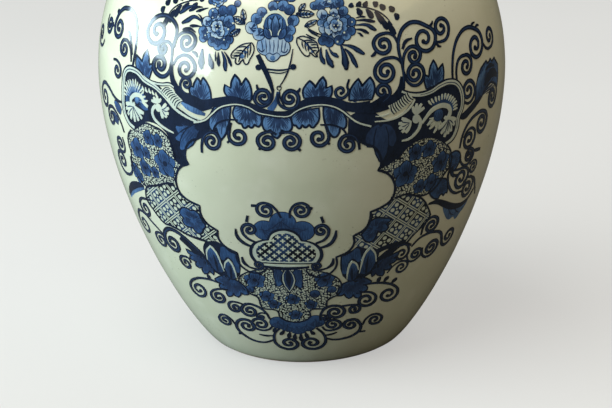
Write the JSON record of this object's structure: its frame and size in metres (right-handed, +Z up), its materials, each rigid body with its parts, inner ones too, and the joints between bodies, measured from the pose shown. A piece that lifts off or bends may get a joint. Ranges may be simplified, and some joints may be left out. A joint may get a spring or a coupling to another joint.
{
  "type": "lidded storage jar",
  "caption": "Ovoid tin-glazed earthenware storage jar with a short neck, painted in blue on white, and a lift-off domed brass lid with a turned finial.",
  "frame": {"origin": "centre of the foot ring, on the plane that the jar stands on", "axes": "+Z up along the jar's axis; -Y towards the front, where the painted cartouche is; +X to the right seen from the front"},
  "size_m": [0.22, 0.22, 0.3494],
  "materials": {
    "tin_glaze": "glossy pale green-white tin glaze over buff earthenware",
    "cobalt": "cobalt blue painted under the glaze, glossy",
    "brass_sheet": "spun brass, softly polished, with turned marks and a light patina",
    "brass_turned": "cast and turned brass, polished",
    "iron": "dark forged iron"
  },
  "bodies": {
    "jar": {"jar_body": "tin_glaze"},
    "lid": {"lid_cover": "brass_sheet", "skirt_bead": "brass_sheet", "finial_plate": "brass_turned", "finial_knob": "brass_turned", "finial_stud": "iron", "finial_washer": "brass_turned", "finial_nut": "iron"}
  },
  "joints": [
    {"name": "lid_lift", "type": "slide", "parent": "jar", "child": "lid", "axis": [0, 0, 1], "range_m": [0, 0.15]}
  ]
}
